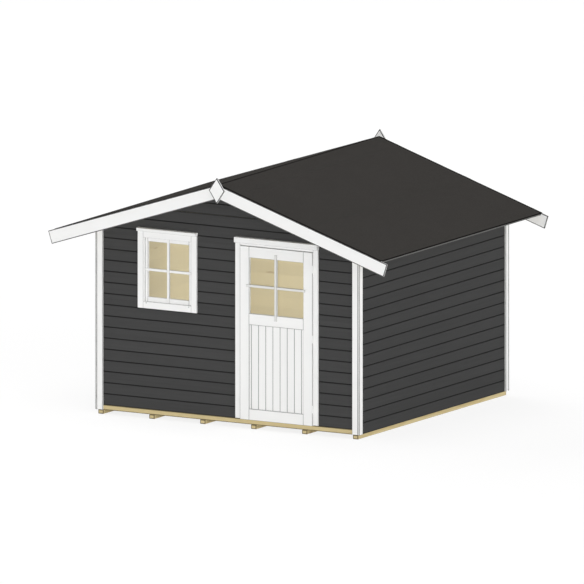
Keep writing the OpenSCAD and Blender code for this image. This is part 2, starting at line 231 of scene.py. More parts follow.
class Piece:
    """One visible piece: closed shells, gathered as arrays and made into one mesh at the origin.

    Each point keeps its place in its own board (grain: along, across and through it, from a pith of its
    own), the board's tone, and its darkening, which is 1 on rounded edges and in joints: wear and dirt on
    the edges, painted shade in the joints, and a painted shadow along the wall boards' foot."""

    def __init__(self, name):
        self.name = name
        self.random = np.random.default_rng(sum(name.encode()))
        self.corners, self.faces, self.finishes = [], [], []
        self.grain, self.tone, self.wear_and_shade = [], [], []
        self.count = 0

    def add(self, sections, grain, wear_and_shade=0.0, finishes=0):
        """Adds the shell through sections (stations, around, 3). finishes gives the material of every
        strip of side faces, by its number in the piece's list."""
        corners = sections.reshape(-1, 3)
        sides, caps = loft(sections)
        if volume(corners, sides) + volume(corners, caps) < 0:
            sides, caps = sides[:, ::-1], caps[:, ::-1]
        pith = self.random.uniform((0, -0.09, 0.03), (30, 0.09, 0.10))
        strips = np.broadcast_to(finishes, sections.shape[1])
        self.corners.append(corners)
        self.faces += (sides + self.count).tolist() + (caps + self.count).tolist()
        self.finishes += [np.tile(strips, len(sections) - 1), np.full(2, strips[0])]
        self.grain.append(grain.reshape(-1, 3) + pith)
        self.tone.append(np.full(len(corners), self.random.random()))
        self.wear_and_shade.append(np.broadcast_to(wear_and_shade, sections.shape[:2]).reshape(-1))
        self.count += len(corners)

    def finish(self, materials, slot, replaces=(), body="house", smooth=False):
        """Makes the mesh, gives it its materials and attributes, and sets it on its body."""
        mesh = bpy.data.meshes.new(self.name)
        mesh.from_pydata(np.concatenate(self.corners).tolist(), [], self.faces)
        mesh.polygons.foreach_set("material_index", np.concatenate(self.finishes).astype(np.int32))
        vectors = mesh.attributes.new("grain", "FLOAT_VECTOR", "POINT")
        vectors.data.foreach_set("vector", np.concatenate(self.grain).astype(np.float32).ravel())
        for name, values in (("tone", self.tone), ("wear_and_shade", self.wear_and_shade)):
            numbers = mesh.attributes.new(name, "FLOAT", "POINT")
            numbers.data.foreach_set("value", np.concatenate(values).astype(np.float32))
        for coat in materials:
            mesh.materials.append(coat)
        if smooth:
            mesh.shade_smooth()
            mesh.set_sharp_from_angle(angle=SMOOTH_ANGLE)
        mesh.update()
        thing = bpy.data.objects.new(self.name, mesh)
        bpy.context.scene.collection.objects.link(thing)
        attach(thing, body)
        if replaces:
            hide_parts(*replaces)


def cover_node(node, coat):
    """Gives a CAD node that stays in sight its material."""
    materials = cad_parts[node].data.materials
    materials.clear()
    materials.append(coat)


def rectangle(along, across):
    """Outline of a board that starts at the origin."""
    return np.array(((0, 0), (along, 0), (along, across), (0, across)), float)


def rounded(outline, radius):
    """Arcs at the corners of a convex outline: each corner's circle touches both of its edges, and its
    three points lie on the directions of the edges' normals and of their mean. Gives the circles' centres,
    the directions, the mitres along which the outline shrinks, and 1 for the middle points."""
    edge = np.roll(outline, -1, axis=0) - outline
    turn = np.sign(np.cross(edge, np.roll(edge, -1, axis=0)).sum())
    normal = turn * np.stack((edge[:, 1], -edge[:, 0]), axis=1) / np.linalg.norm(edge, axis=1)[:, None]
    before = np.roll(normal, 1, axis=0)
    middle = before + normal
    mitre = middle / (1 + (before * normal).sum(1))[:, None]
    middle = middle / np.linalg.norm(middle, axis=1)[:, None]
    directions = np.stack((before, middle, normal), axis=1).reshape(-1, 2)
    centre, mitre = np.repeat(outline - radius * mitre, 3, axis=0), np.repeat(mitre, 3, axis=0)
    return centre, directions, mitre, np.tile((0.0, 1.0, 0.0), len(outline))


def slab(piece, place, outline, thick, radius, order=(0, 1, 2), finishes=0, band=0.0):
    """A flat body with rounded edges: the outline lies in the plane of the place's first two axes and is
    carried along the third, growing at the start and shrinking at the end along quarter circles. order
    says which of the three runs along, across and through the grain; band is the width of a worn strip
    along the edges of both faces."""
    centre, direction, mitre, bend = rounded(outline, radius)
    grown, sunk, edge_darkening = (BANDED_ROUNDING if band else ROUNDING).T
    if band:
        grown = grown - np.where(np.arange(len(grown)) < BAND_STEPS, band / radius, 0)
    sunk = np.minimum(sunk * radius, DEEPEST_EDGE * thick)
    share = np.concatenate((grown, grown[::-1]))
    depth = np.concatenate((sunk, thick - sunk[::-1]))
    share_out, share_in = np.maximum(share, 0)[:, None, None], np.minimum(share, 0)[:, None, None]
    flat = centre + radius * (share_out * direction + share_in * mitre)
    local = np.concatenate((flat, np.broadcast_to(depth[:, None, None], flat.shape[:2] + (1,))), axis=2)
    wear_and_shade = np.maximum(np.concatenate((edge_darkening, edge_darkening[::-1]))[:, None], (share > grown[0])[:, None] * bend)
    piece.add(place.origin + local @ np.array(place.axes), local[..., list(order)], wear_and_shade, finishes)


def board(piece, low, high, along, radius):
    """A straight board that fills the box from low to high, with its grain along the given axis."""
    size = high - low
    across, through = sorted({0, 1, 2} - {along}, key=lambda axis: -size[axis])
    place = Place(low, np.eye(3)[[along, across, through]])
    slab(piece, place, rectangle(size[along], size[across]), size[through], radius)


def stretch(low, high, axis, start, end):
    """The part of the box from low to high that lies between two places along an axis."""
    first, last = np.array(low), np.array(high)
    first[axis], last[axis] = start, end
    return first, last


def screws(piece, start, end, count, outward, radius):
    """Domed screw heads in a row from start to end: circles round the outward direction, whose height
    falls with their radius as an ellipse's does."""
    share = np.array((1.0, *SCREW_RINGS))
    rise = SCREW_DOME * radius * np.sqrt(1 - SCREW_RIM * np.array(SCREW_RINGS) ** 2)
    heights = np.concatenate(((-radius,), rise - rise[0]))
    angle = np.linspace(0, 2 * math.pi, SCREW_SIDES, endpoint=False)
    first = np.cross(outward, X + Z)
    first = first / np.linalg.norm(first)
    circle = np.cos(angle)[:, None] * first + np.sin(angle)[:, None] * np.cross(outward, first)
    head = np.multiply.outer(heights, outward)[:, None] + np.multiply.outer(radius * share, circle)
    for place in np.linspace(start, end, count):
        piece.add(place + head, head)


# ---- Shaders ----

# Numbers of a Mix node's sockets for colours, whose names its other sockets have too
MIX_FIRST, MIX_SECOND, MIX_COLOUR = 6, 7, 2
# Width of a year ring of the pine, and grains of grit to the metre on the felt
RING = 0.0075
GRIT = 420.0
# A darker band along the front beam's lower edge, a painted shadow of the cladding along its upper edge,
# and the distance over which they end
BEAM_FOOT_BAND, BEAM_TOP_SHADOW, BAND_FADE = 0.008, 0.010, 0.002
# Place of the beam's pith behind its face and over its top
BEAM_PITH = (0.02, 0.06)


class Value:
    """An output socket of a node, with the arithmetic that its numbers take part in."""

    def __init__(self, shader, socket):
        self.shader, self.socket = shader, socket

    def maths(self, operation, first, second=0.0):
        return self.shader.node("ShaderNodeMath", {"operation": operation}, {0: first, 1: second})

    def __add__(self, other):
        return self.maths("ADD", self, other)

    def __sub__(self, other):
        return self.maths("SUBTRACT", self, other)

    def __rsub__(self, other):
        return self.maths("SUBTRACT", other, self)

    def __mul__(self, other):
        return self.maths("MULTIPLY", self, other)

    def __pow__(self, other):
        return self.maths("POWER", self, other)

    def __or__(self, other):
        return self.maths("MAXIMUM", self, other)

    def sine(self):
        return self.maths("SINE", self)

    def ramp(self, low, high):
        """0 below low, 1 above high and straight between them."""
        return self.shader.node("ShaderNodeMapRange", {"clamp": True}, {0: self, 1: low, 2: high})

    __radd__ = __add__
    __rmul__ = __mul__


class Shader:
    """A node tree being filled."""

    def __init__(self, tree):
        self.tree = tree
        tree.nodes.clear()

    def node(self, kind, settings=None, inputs=None, output=0):
        """Adds a node: its settings first, then the values or links of its sockets. Gives one output."""
        made = self.tree.nodes.new(kind)
        for name, setting in (settings or {}).items():
            setattr(made, name, setting)
        for name, given in (inputs or {}).items():
            if isinstance(given, Value):
                self.tree.links.new(given.socket, made.inputs[name])
            else:
                made.inputs[name].default_value = given
        return Value(self, made.outputs[output]) if made.outputs else None

    def vector_maths(self, operation, first, second, output=0):
        return self.node("ShaderNodeVectorMath", {"operation": operation}, {0: first, 1: second}, output)

    def place(self):
        """The point's place in the house, in metres."""
        return self.node("ShaderNodeTexCoord", output="Object")

    def number(self, name):
        """One of a piece's number attributes: tone, or the darkening of wear and painted shade."""
        return self.node("ShaderNodeAttribute", {"attribute_name": name}, output="Fac")

    def board(self):
        """The place in the board's own grain, its darkening by wear and painted shade, and its tone."""
        grain = self.node("ShaderNodeAttribute", {"attribute_name": "grain"}, output="Vector")
        return grain, self.number("wear_and_shade"), self.number("tone")

    def noise(self, vector, factors, detail=2.0, rough=0.5):
        """Noise between 0 and 1, with that many waves to the metre along each of the vector's parts."""
        return self.node("ShaderNodeTexNoise", {},
                         {"Vector": self.vector_maths("MULTIPLY", vector, factors), "Scale": 1.0,
                          "Detail": detail, "Roughness": rough})

    def cells(self, vector, scale, output="Distance"):
        """Cells round scattered points: the distance to the nearest point, or its Position."""
        return self.node("ShaderNodeTexVoronoi", {"feature": "F1"}, {"Vector": vector, "Scale": scale},
                         output)

    def scaled(self, tint, factor):
        """A colour made darker or lighter by a factor."""
        return self.node("ShaderNodeVectorMath", {"operation": "SCALE"}, {0: tint, "Scale": factor})

    def mixed(self, factor, first, second):
        """A colour between two colours."""
        ends = [end if isinstance(end, Value) else (*end, 1.0) for end in (first, second)]
        return self.node("ShaderNodeMix", {"data_type": "RGBA"},
                         {0: factor, MIX_FIRST: ends[0], MIX_SECOND: ends[1]}, MIX_COLOUR)

    def bump(self, height, distance, strength):
        return self.node("ShaderNodeBump", {},
                         {"Height": height, "Distance": distance, "Strength": strength})

    def surface(self, **sockets):
        """The Principled shader with the named sockets; an underscore stands for a space."""
        inputs = {name.replace("_", " "): given for name, given in sockets.items()}
        return self.node("ShaderNodeBsdfPrincipled", {}, inputs)


def material(name, build):
    """The material of that name, which build makes when it is first asked for."""
    found = bpy.data.materials.get(name)
    if found is None:
        found = bpy.data.materials.new(name)
        found.use_nodes = True
        shader = Shader(found.node_tree)
        shader.node("ShaderNodeOutputMaterial", {}, {"Surface": build(shader)})
    return found


def white_paint(name="satin_white", tint=None, dirt_and_shade=0.76):
    """Satin paint on planed boards: brush marks along the board, fibres that show through, a tone of its
    own for each board, and darker edges and joints: dirt on the edges, painted shade in the joints. The
    last argument is how much darker they are."""
    tint = tuple(tint or colours().white_paint)

    def build(shader):
        grain, wear_and_shade, tone = shader.board()
        fibres = shader.noise(grain, (5, 260, 260), 3.0, 0.6)
        brush = shader.noise(grain, (2.5, 90, 90), 2.0)
        cloud = shader.noise(grain, (3, 9, 9), 3.0)
        patchy = shader.noise(grain, (25, 60, 60), 3.0).ramp(0.35, 0.7)
        # Edges and joints are darker: dirt on the edges, painted shade in the joints
        shade = (0.975 + 0.02 * tone + 0.03 * cloud - 0.03 * fibres) * (1 - wear_and_shade * (dirt_and_shade + 0.1 * patchy))
        relief = fibres * 0.5 + brush * 0.7
        return shader.surface(Base_Color=shader.scaled(tint, shade),
                              Roughness=0.36 + 0.16 * cloud + 0.1 * wear_and_shade,
                              Normal=shader.bump(relief, 0.0006, 0.5))

    return material(name, build)


def weathered_white():
    """The white paint where rain reaches every side of the boards: its edges are darker with dirt, and its
    joints with deeper painted shade.
    """
    return white_paint("satin_white_weathered", dirt_and_shade=0.88)


def grey_paint(name="matt_grey", tint=None, dirt_and_shade=0.66):
    """Matt stain on sawn boards: rough fibres, faint streaks, joints darkened by dirt and painted shade,
    and a painted shadow along the foot. The last argument is how much darker those are."""
    tint = tuple(tint or colours().grey_paint)

    def build(shader):
        grain, wear_and_shade, tone = shader.board()
        fibres = shader.noise(grain, (7, 320, 320), 4.0, 0.65)
        streaks = shader.noise(grain, (1.2, 45, 45), 3.0)
        cloud = shader.noise(grain, (2, 7, 7), 2.0)
        shade = 0.86 + 0.08 * tone + 0.18 * streaks + 0.14 * fibres - 0.1 * cloud
        # Joints are darker with dirt and painted shade, and the foot with a painted shadow
        return shader.surface(Base_Color=shader.scaled(tint, shade * (1 - dirt_and_shade * wear_and_shade)),
                              Roughness=0.58 + 0.2 * fibres,
                              Specular_IOR_Level=0.1,
                              Normal=shader.bump(fibres + streaks * 0.6, 0.0012, 0.6))

    return material(name, build)


def raw_pine(name="planed_pine", beam=None, tints=None, knotty=0.7):
    """Planed pine: year rings round a pith beside the board, wandering along it, fine fibres and a few
    knots. A beam is a board along X without a grain attribute, given by its lowest and highest corner,
    and knotty says how dark the knots are."""
    early, late_tint = (tuple(tint) for tint in tints or (colours().early_wood, colours().late_wood))

    def build(shader):
        if beam is None:
            grain, wear_and_shade, tone = shader.board()
        else:
            low, high = beam
            place = shader.place()
            pith = (0.0, low[1] + BEAM_PITH[0], high[2] + BEAM_PITH[1])
            grain = shader.vector_maths("SUBTRACT", place, pith)
            height = shader.node("ShaderNodeSeparateXYZ", {}, {0: place}, "Z")
            # The beam's top band is a painted shadow under the cladding; its foot band is only darker
            wear_and_shade = (height.ramp(low[2] + BEAM_FOOT_BAND, low[2] + BEAM_FOOT_BAND - BAND_FADE)
                    | height.ramp(high[2] - BEAM_TOP_SHADOW, high[2] - BEAM_TOP_SHADOW + BAND_FADE))
            tone = 0.5
        fibres = shader.noise(grain, (6, 420, 420), 3.0, 0.6)
        wander = shader.noise(grain, (1.1, 5, 5), 2.0)
        beside_pith = shader.vector_maths("MULTIPLY", grain, (0, 1, 1))
        from_pith = shader.vector_maths("LENGTH", beside_pith, (0, 0, 0), "Value")
        rings = ((from_pith + wander * 0.035) * (2 * math.pi / RING)).sine()
        late = (rings * 0.5 + 0.5) ** 3.0
        knots = shader.cells(shader.vector_maths("MULTIPLY", grain, (1.3, 5.5, 5.5)), 1.0)
        knot = 1 - knots.ramp(0.05, 0.085)
        wood = shader.mixed(late * 0.55 + fibres * 0.3, early, late_tint)
        wood = shader.mixed(knot * knotty, wood, tuple(colours().knot))
        # Edges darken with wear, joints with painted shade, and the front beam's top with a painted shadow
        shade = (0.93 + 0.1 * tone + 0.08 * wander) * (1 - 0.75 * wear_and_shade)
        return shader.surface(Base_Color=shader.scaled(wood, shade),
                              Roughness=0.55 + 0.2 * fibres,
                              Specular_IOR_Level=0.2,
                              Normal=shader.bump(fibres - late * 0.5, 0.0006, 0.6))

    return material(name, build)


def pale_pine():
    """The paler pine of the boards inside, with few knots."""
    tints = (colours().inner_early, colours().inner_late)
    return raw_pine("pale_pine", tints=tints, knotty=0.35)


def roofing_felt():
    """Bituminous felt with mineral grit: grains of differing greys, worn patches and soft weathering."""
    tint = tuple(colours().felt)

    def build(shader):
        place = shader.place()
        grit = shader.cells(place, GRIT)
        grain_place = shader.cells(place, GRIT, "Position")
        fleck = shader.node("ShaderNodeTexWhiteNoise", {}, {"Vector": grain_place})
        cloud = shader.noise(place, (1.4, 1.4, 1.4), 4.0)
        patch = shader.noise(place, (14, 5, 14), 3.0)
        wear_and_shade = shader.number("wear_and_shade")
        shade = (0.76 + 0.34 * fleck + 0.08 * cloud + 0.08 * patch) * (1 - 0.75 * wear_and_shade)
        return shader.surface(Base_Color=shader.scaled(tint, shade),
                              Roughness=0.9,
                              Specular_IOR_Level=0.0,
                              Normal=shader.bump(1 - grit, 0.0015, 0.5))

    return material("gritted_felt", build)


def window_glass():
    """Clear float glass, with a breath of dust that makes it a little rougher in patches."""
    tint = tuple(colours().glass)

    def build(shader):
        place = shader.place()
        dust = shader.noise(place, (5, 5, 5), 4.0).ramp(0.4, 0.8)
        return shader.surface(Base_Color=(*tint, 1.0), Roughness=0.012 + 0.03 * dust, IOR=1.5,
                              Transmission_Weight=1.0)

    return material("float_glass", build)


def zinc_steel():
    """Zinc-coated steel with a faint spangle."""
    tint = tuple(colours().steel)

    def build(shader):
        place = shader.place()
        spangle = shader.noise(place, (220, 220, 220), 2.0)
        return shader.surface(Base_Color=shader.scaled(tint, 0.9 + 0.2 * spangle), Metallic=0.85,
                              Roughness=0.34 + 0.2 * spangle,
                              Normal=shader.bump(spangle, 0.0002, 0.4))

    return material("zinc_steel", build)


def painted_steel():
    """White paint on steel: a fine orange peel, and soft patches where it has greyed a little."""
    tint = tuple(colours().white_paint)

    def build(shader):
        place = shader.place()
        peel = shader.noise(place, (900, 900, 900), 2.0)
        cloud = shader.noise(place, (60, 60, 60), 3.0)
        return shader.surface(Base_Color=shader.scaled(tint, 0.9 + 0.08 * cloud),
                              Roughness=0.3 + 0.2 * cloud,
                              Normal=shader.bump(peel, 0.0002, 0.4))

    return material("painted_steel", build)


# ---- Walls ----

# Chamfers of the joints and of the boards' inner edges, and the height of the painted shadow along the
# foot
GROOVE_CHAMFER, INNER_CHAMFER, FOOT_SHADOW_LINE = 0.002, 0.0012, 0.008
# Gaps between the wall boards and the roof, at the gables and at the sides
GABLE_GAP, SIDE_GAP = 5e-4, 2e-4
CUT, JOINT, FOOT = range(3)
Opening = namedtuple("Opening", "left right low high")


def joint_edge(height, towards, kind, thick):
    """Points of a wall board's edge from its face to its back, as (depth, height, darkening). A JOINT is
    chamfered and cut back to the tongue and darkened in its groove by dirt and painted shade, a CUT is
    only eased, and a FOOT also has a painted shadow along it, the shade under the board's lower edge,
    which ends over its last fifth. towards is +1 or -1, the way from the edge into the board."""
    ease = INNER_CHAMFER
    inner = ((thick - ease, height, 0), (thick, height + towards * ease, 0))
    if kind == CUT:
        return np.array(((0, height + towards * ease, 0), (ease, height, 0)) + inner)
    if kind == FOOT:
        # The foot's dark band is a painted shadow under the board
        return np.array(((0, height + towards * FOOT_SHADOW_LINE, 0), (0, height + towards * 0.8 * FOOT_SHADOW_LINE, 1),
                         (0, height + towards * ease, 1), (ease, height, 1)) + inner)
    lip = height + towards * sizes().groove_width / 2
    floor = lip - towards * GROOVE_CHAMFER
    depth = sizes().groove_depth
    groove = ((0, lip, 0), (GROOVE_CHAMFER, floor, 0.6), (depth, floor, 1), (depth, height, 1))
    return np.array(groove + inner)


def cladding_section(low, high, joints, thick, knees, lean):
    """Closed outline of a wall board as rows of (depth, height, darkening by wear and painted shade): over
    its upper edge, down its back, under its lower edge and up its face. Knees are heights at which its
    ends change direction, and lean is the upper edge's rise with depth."""
    upper = joint_edge(high, -1, joints[1], thick)
    upper[:, 1] += lean * upper[:, 0]
    lower = joint_edge(low, 1, joints[0], thick)[::-1]
    margin = sizes().groove_width
    inside = [z for z in knees if low + margin < z < high - margin]
    back = np.array([(thick, z, 0) for z in inside[::-1]]).reshape(-1, 3)
    face = np.array([(0, z, 0) for z in inside]).reshape(-1, 3)
    return np.concatenate((upper, back, lower, face))


def free_spans(left, right, low, high, openings):
    """Stretches of a strip of wall that no opening takes."""
    edges = [left]
    for hole in sorted(hole for hole in openings if hole.low < (low + high) / 2 < hole.high):
        edges += [hole.left, hole.right]
    edges.append(right)
    return zip(edges[::2], edges[1::2])


def cladding(piece, place, rows, ends, thick, openings=(), knees=(), limit=None, lean=0.0):
    """Boards one above another between the heights in rows. The place's axes run along the wall, into it
    and up. A board goes from end to end, is parted at openings, and where a limit is given its ends
    follow it: their distance from the middle is limit(height)."""
    for low, high in zip(rows, rows[1:]):
        cuts = {z for hole in openings for z in (hole.low, hole.high) if low < z < high}
        cuts = sorted({low, high, *cuts})
        for bottom, top in zip(cuts, cuts[1:]):
            foot = FOOT if bottom == rows[0] else CUT
            joints = (JOINT if bottom in rows[1:-1] else foot, JOINT if top in rows[1:-1] else CUT)
            section = cladding_section(bottom, top, joints, thick, knees, lean if top == rows[-1] else 0.0)
            for left, right in free_spans(*ends, bottom, top, openings):
                add_cladding_board(piece, place, section, left, right, limit)


def add_cladding_board(piece, place, section, left, right, limit):
    """One board: its outline at both ends, each point moved along the wall to where the board stops. It
    is painted on its face and in its joints."""
    depth, height, wear_and_shade = section.T
    reach = np.full(len(section), np.inf) if limit is None else limit(height)
    stops = np.stack((np.maximum(left, -reach), np.minimum(right, reach)))
    local = np.stack(np.broadcast_arrays(stops, depth, height), axis=-1)
    outside = depth <= sizes().groove_depth + SAME_PLACE
    painted = outside & np.roll(outside, -1)
    piece.add(place.origin + local @ np.array(place.axes), local[..., [0, 2, 1]], wear_and_shade,
              np.where(painted, 0, 1))


def rows_between(bottom, top):
    """Heights of the joints between bottom and top, counted from the bottom, with both of them."""
    step = sizes().wall_board
    joints = bottom + step * np.arange(1, int((top - bottom) / step) + 1)
    return [bottom, *(float(z) for z in joints if z < top), top]


def right_purlin():
    """Lowest and highest corner of the side purlin on the right."""
    corners = points("side_purlins")
    corners = corners[corners[:, 0] > 0]
    return corners.min(axis=0), corners.max(axis=0)


def front_and_back():
    """The gable walls: boards to the roof's pitch, parted at the window, the door and the purlins."""
    low, high = box("front_wall_left")
    back_high = box("back_wall")[1]
    half = back_high[0]
    ridge_low, ridge_high = box("ridge_purlin")
    (inner, _, bottom), (outer, _, _) = right_purlin()
    notches = [Opening(ridge_low[0], ridge_high[0], ridge_low[2], roof.ridge)]
    for left, right in ((inner, outer), (-outer, -inner)):
        notches.append(Opening(left, right, bottom, roof.under(inner)))
    window_low, window_high = box("window_frame")
    door_low, door_high = box("door_head_trim")
    holes = [Opening(window_low[0], window_high[0], window_low[2], window_high[2]),
             Opening(door_low[0], door_high[0], low[2] - 1, door_low[2])]
    rows = rows_between(low[2], float(roof.under(ridge_high[0])) - GABLE_GAP)
    for name, face, inward, openings, nodes in (
        ("front_cladding", low[1], Y, holes + notches,
         ("front_wall_left", "front_wall_right", "front_gable")),
        ("back_cladding", back_high[1], -Y, notches, ("back_wall",)),
    ):
        piece = Piece(name)
        place = Place(face * Y, (X, inward, Z))
        cladding(piece, place, rows, (-half, half), high[1] - low[1], openings,
                 (float(roof.under(half)),), roof.reach)
        piece.finish((grey_paint(), pale_pine()), slot="grey_paint", replaces=nodes)


def side_walls():
    """The side walls between the gable walls, with their upper edge cut to the roof's pitch."""
    for name, side in (("right", 1), ("left", -1)):
        low, high = box(name + "_wall")
        face = high[0] if side > 0 else low[0]
        rows = rows_between(low[2], float(roof.under(face)) - SIDE_GAP)
        piece = Piece(name + "_cladding")
        place = Place(face * X, (Y, -side * X, Z))
        cladding(piece, place, rows, (low[1], high[1]), high[0] - low[0], lean=roof.rise)
        # The side walls take the darker grey, which is a painted shade
        piece.finish((grey_paint("matt_grey_sides_shaded", colours().shaded_side_paint), pale_pine()), slot="grey_paint",
                     replaces=(name + "_wall",))


# ---- Base, corners and roof ----

JOISTS = 6
# Rounding of the floor boards' edges, and width of the worn band round the joists' ends
BOARD_EASE, END_BAND = 0.0015, 0.006
# The strips of side faces of a roof board that make its end at the eave, of three for each corner
ROOF_BOARD_STRIPS, EAVE_STRIPS = 12, (3, 4, 5, 6, 7)


def base():
    """Joists across the ground, the beams on them, and the floor boards between the beams."""
    for number in range(1, JOISTS + 1):
        node = f"joist_{number}"
        low, high = box(node)
        width, reach, height = high - low
        piece = Piece(f"joist_timber_{number}")
        slab(piece, Place(low, (X, Z, Y)), rectangle(width, height), reach, sizes().edge_round, (2, 1, 0),
             band=END_BAND)
        piece.finish((raw_pine(),), slot="raw_pine", replaces=(node,))
    piece = Piece("floor_beam_timber_back")
    board(piece, *box("floor_beam_back"), ALONG_X, sizes().edge_round)
    piece.finish((raw_pine(),), slot="raw_pine", replaces=("floor_beam_back",))
    cover_node("floor_beam_front", raw_pine("planed_pine_front_beam", box("floor_beam_front")))
    low, high = box("floor")
    piece = Piece("floor_boarding")
    edges = np.linspace(low[1], high[1], round((high[1] - low[1]) / sizes().floor_board) + 1)
    for start, end in zip(edges, edges[1:]):
        board(piece, *stretch(low, high, ALONG_Y, start, end), ALONG_X, BOARD_EASE)
    piece.finish((pale_pine(),), slot="raw_pine", replaces=("floor",))


def corner_boards():
    """Two upright boards at each corner: at the front the side's board covers the edge of the front's,
    and at the back it is the other way round. Their upper ends follow the roof."""
    half = box("back_wall")[1][0]
    front, back = box("front_wall_left")[0][1], box("back_wall")[1][1]
    for depth, face, outward in (("front", front, -1), ("back", back, 1)):
        for name, side in (("left", -1), ("right", 1)):
            node = f"corner_{depth}_{name}"
            low, high = box(node)
            inner, outer = sorted((abs(low[0]), abs(high[0])))
            thick = outer - half
            covering = half if depth == "front" else outer
            piece = Piece(f"corner_boards_{depth}_{name}")
            outline = np.array(((low[2], inner), (low[2], covering),
                                (roof.under(covering), covering), (roof.under(inner), inner)))
            nearer = min(face, face + outward * thick)
            slab(piece, Place(nearer * Y, (Z, side * X, Y)), outline, thick, sizes().corner_round)
            start, end = low[1], back if depth == "back" else high[1]
            top = roof.under(outer)
            outline = np.array(((low[2], start), (top, start), (top, end), (low[2], end)))
            slab(piece, Place(side * half * X, (Z, Y, side * X)), outline, thick, sizes().corner_round)
            piece.finish((weathered_white(),), slot="white_paint", replaces=(node,))


def purlins():
    """Ridge and side purlins from barge board to barge board, with upper faces to the roof's pitch."""
    low, high = box("ridge_purlin")
    half = high[0]
    ridge = np.array(((-half, low[2]), (half, low[2]), (half, roof.under(half)),
                      (0, roof.ridge), (-half, roof.under(half))))
    (inner, _, bottom), (outer, _, _) = right_purlin()
    side = np.array(((inner, bottom), (outer, bottom),
                     (outer, roof.under(outer)), (inner, roof.under(inner))))
    for name, node, outline, signs in (("ridge_purlin_timber", "ridge_purlin", ridge, (1,)),
                                       ("side_purlin_timbers", "side_purlins", side, (-1, 1))):
        piece = Piece(name)
        for sign in signs:
            slab(piece, Place(roof.front * Y, (sign * X, Z, Y)), outline, roof.back - roof.front,
                 sizes().edge_round, (2, 1, 0))
        piece.finish((pale_pine(),), slot="raw_pine", replaces=(node,))


def roof_boards():
    """Boards from the ridge to the eaves, side by side from front to back, with rounded joints that show
    from below. Their ends are plumb, because they are carried straight up, and primed at the eaves."""
    count = round((roof.back - roof.front) / sizes().roof_board)
    edges = np.linspace(roof.front, roof.back, count + 1)
    run = roof.eave / roof.cos
    finishes = np.isin(np.arange(ROOF_BOARD_STRIPS), EAVE_STRIPS).astype(int)
    primer = grey_paint("primer_grey", colours().eave_paint, 0.1)
    for name, side in (("right", 1), ("left", -1)):
        piece = Piece(f"roof_decking_{name}")
        for start, end in zip(edges, edges[1:]):
            place = Place(np.array((0, start, roof.ridge)), (roof.down(side), Y, Z))
            slab(piece, place, rectangle(run, end - start), roof.deck, sizes().joint_round,
                 finishes=finishes)
        piece.finish((pale_pine(), primer), slot="raw_pine", replaces=(f"roof_boards_{name}",))


# Sections of the felt from front to back, and points of a section down the slope
FELT_STATIONS, FELT_STEPS = 61, 43
# Its gap to the boards below, and how far back from the boards' ends it goes up to the barge boards
FELT_GAP, FELT_STEP_BACK = 2e-4, 5e-4
# Its bare strips along the gables and the distance over which they end, and its worn strip along the
# eaves and half the distance over which that one ends
BARE_STRIP, BARE_END, EAVE_WEAR, EAVE_END = 0.030, 0.002, 0.008, 0.001
# How much higher than the solid's its turned edge ends
FELT_RAISE = 0.003
# Depth of its edge's first point where it is turned down and where it isn't, in thicknesses of the
# boards, and the distance from the edge to the next point of its lower line where it isn't
TURNED_DEPTH, PLAIN_DEPTH, PLAIN_STEP = 0.3, 0.1, 0.01
# Half the run of the step at a lap, and the height of the boards' waves under the felt
LAP_STEP, FELT_WAVE = 5e-4, 4e-4
# The ridge strip: radius and half the worn width of its fold, its lift over the sheets, its lower
# depth below them, how closely its points gather towards the fold, and the height of its waves
FOLD_RADIUS, FOLD_WEAR, CAP_LIFT, CAP_BODY, CAP_GATHER, CAP_WAVE = 0.003, 0.010, 4e-4, 8e-4, 1.6, 2e-4


def felt_laps(run):
    """Distances down the slope of the sheets' lower edges, of all sheets but the lowest."""
    return np.arange(run - sizes().felt_cover, sizes().ridge_cap, -sizes().felt_cover)


def felt_thickness(down, run):
    """Height of the felt's upper face above the boards at a distance down the slope: one sheet, and at a
    lap a second one that rises over a short ramp and ends in a step."""
    step = np.zeros_like(down)
    for lower_edge in felt_laps(run):
        above = lower_edge - down
        ramp = np.clip((2 * sizes().felt_lap - above) / sizes().felt_lap, 0, 1)
        step = np.maximum(step, np.where(above > 0, ramp, 0))
    return sizes().felt_sheet + sizes().felt_step * step


def felt_along():
    """Places of the felt's sections from front to back, which of them lie over the barge boards, and
    which lie in the bare black strips along the gables, where the felt has no grit."""
    low, high = box("roof_felt_right")
    over_deck = np.linspace(roof.front + FELT_STEP_BACK, roof.back - FELT_STEP_BACK, FELT_STATIONS)
    strip_ends = (low[1] + BARE_STRIP, low[1] + BARE_STRIP + BARE_END,
                  high[1] - BARE_STRIP - BARE_END, high[1] - BARE_STRIP)
    along = np.sort(np.concatenate(((low[1], roof.front), over_deck, strip_ends, (roof.back, high[1]))))
    bare = (along < strip_ends[0] + SAME_PLACE) | (along > strip_ends[3] - SAME_PLACE)
    return along, (along <= roof.front) | (along >= roof.back), bare.astype(float)


